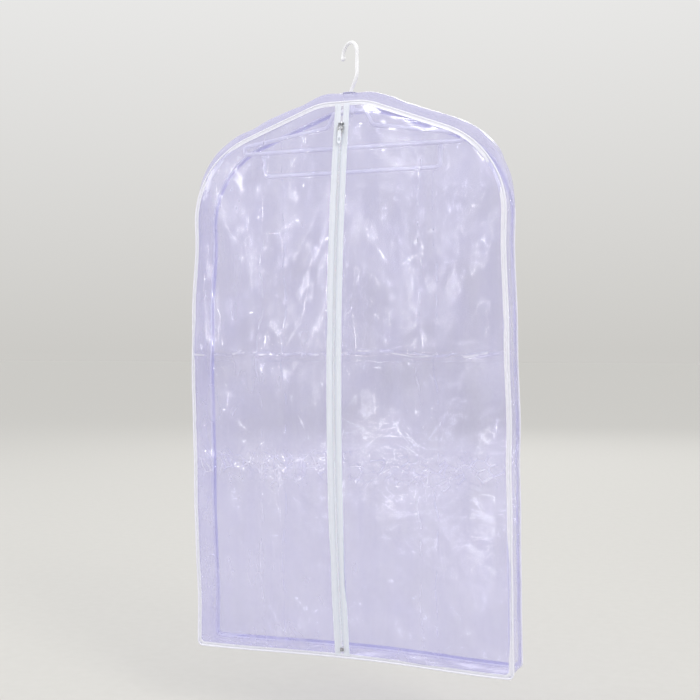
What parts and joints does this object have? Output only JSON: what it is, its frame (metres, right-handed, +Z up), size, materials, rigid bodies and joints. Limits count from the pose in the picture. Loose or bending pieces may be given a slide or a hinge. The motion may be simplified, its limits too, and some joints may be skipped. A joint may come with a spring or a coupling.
{
  "type": "garment bag",
  "caption": "Clear zipped garment bag with white piping, hung on a two-bar clothes hanger with a swivel hook; the zip opens the front like two doors.",
  "frame": {"origin": "underside of the hook's crown, where the rail bears", "axes": "+Z up, the zip faces -Y, +X is to the right seen from the front"},
  "size_m": [0.61, 0.1249, 1.1126],
  "materials": {
    "film": "clear soft vinyl film, glossy, faint lavender haze",
    "piping": "white vinyl piping with a stitched edge",
    "hanger_plastic": "white moulded plastic, semi-gloss",
    "zip_tape": "woven white tape with a pale blue cast",
    "zip_coil": "moulded nylon coil, satin",
    "zip_metal": "grey die-cast metal, worn lacquer",
    "pull_lacquer": "pale lacquered metal, rubbed at its edges"
  },
  "bodies": {
    "hook": {"hook": "hanger_plastic"},
    "bag": {"hanger_frame": "hanger_plastic", "hanger_drop_bar": "hanger_plastic", "back_panel": "film", "bottom_panel": "film", "gusset_left": "film", "gusset_right": "film", "hook_eyelet": "piping", "piping_front_left": "piping", "piping_front_right": "piping", "piping_back_left": "piping", "piping_back_right": "piping", "zip_bottom_stop": "zip_metal"},
    "front_left": {"front_panel_left": "film", "zip_tape_left": "zip_tape", "zip_coil_left": "zip_coil", "zip_top_stop_left": "zip_metal"},
    "front_right": {"front_panel_right": "film", "zip_tape_right": "zip_tape", "zip_coil_right": "zip_coil", "zip_top_stop_right": "zip_metal"},
    "zip_slider": {"zip_slider": "zip_metal"},
    "zip_pull": {"zip_pull": "pull_lacquer"}
  },
  "joints": [
    {"name": "hook_swivel", "type": "hinge", "parent": "hook", "child": "bag", "pos_m": [0, 0, -0.115], "axis": [0, 0, 1], "continuous": true},
    {"name": "zip_travel", "type": "hinge", "parent": "bag", "child": "zip_slider", "pos_m": [0, 2.67351, -0.608], "axis": [1, 0, 0], "range_deg": [0, 19]},
    {"name": "pull_flip", "type": "hinge", "parent": "zip_slider", "child": "zip_pull", "pos_m": [0, -0.05285, -0.16193], "axis": [-1, 0, 0], "range_deg": [0, 160]},
    {"name": "front_left_open", "type": "hinge", "parent": "bag", "child": "front_left", "pos_m": [-0.2977, -0.0375, -0.608], "axis": [0, 0, -1], "range_deg": [0, 50]},
    {"name": "front_right_open", "type": "hinge", "parent": "bag", "child": "front_right", "pos_m": [0.2977, -0.0375, -0.608], "axis": [0, 0, 1], "range_deg": [0, 50]}
  ],
  "couplings": [
    {"joint": "front_left_open", "follows": "zip_travel", "ratio": 2.6},
    {"joint": "front_right_open", "follows": "zip_travel", "ratio": 2.6}
  ]
}
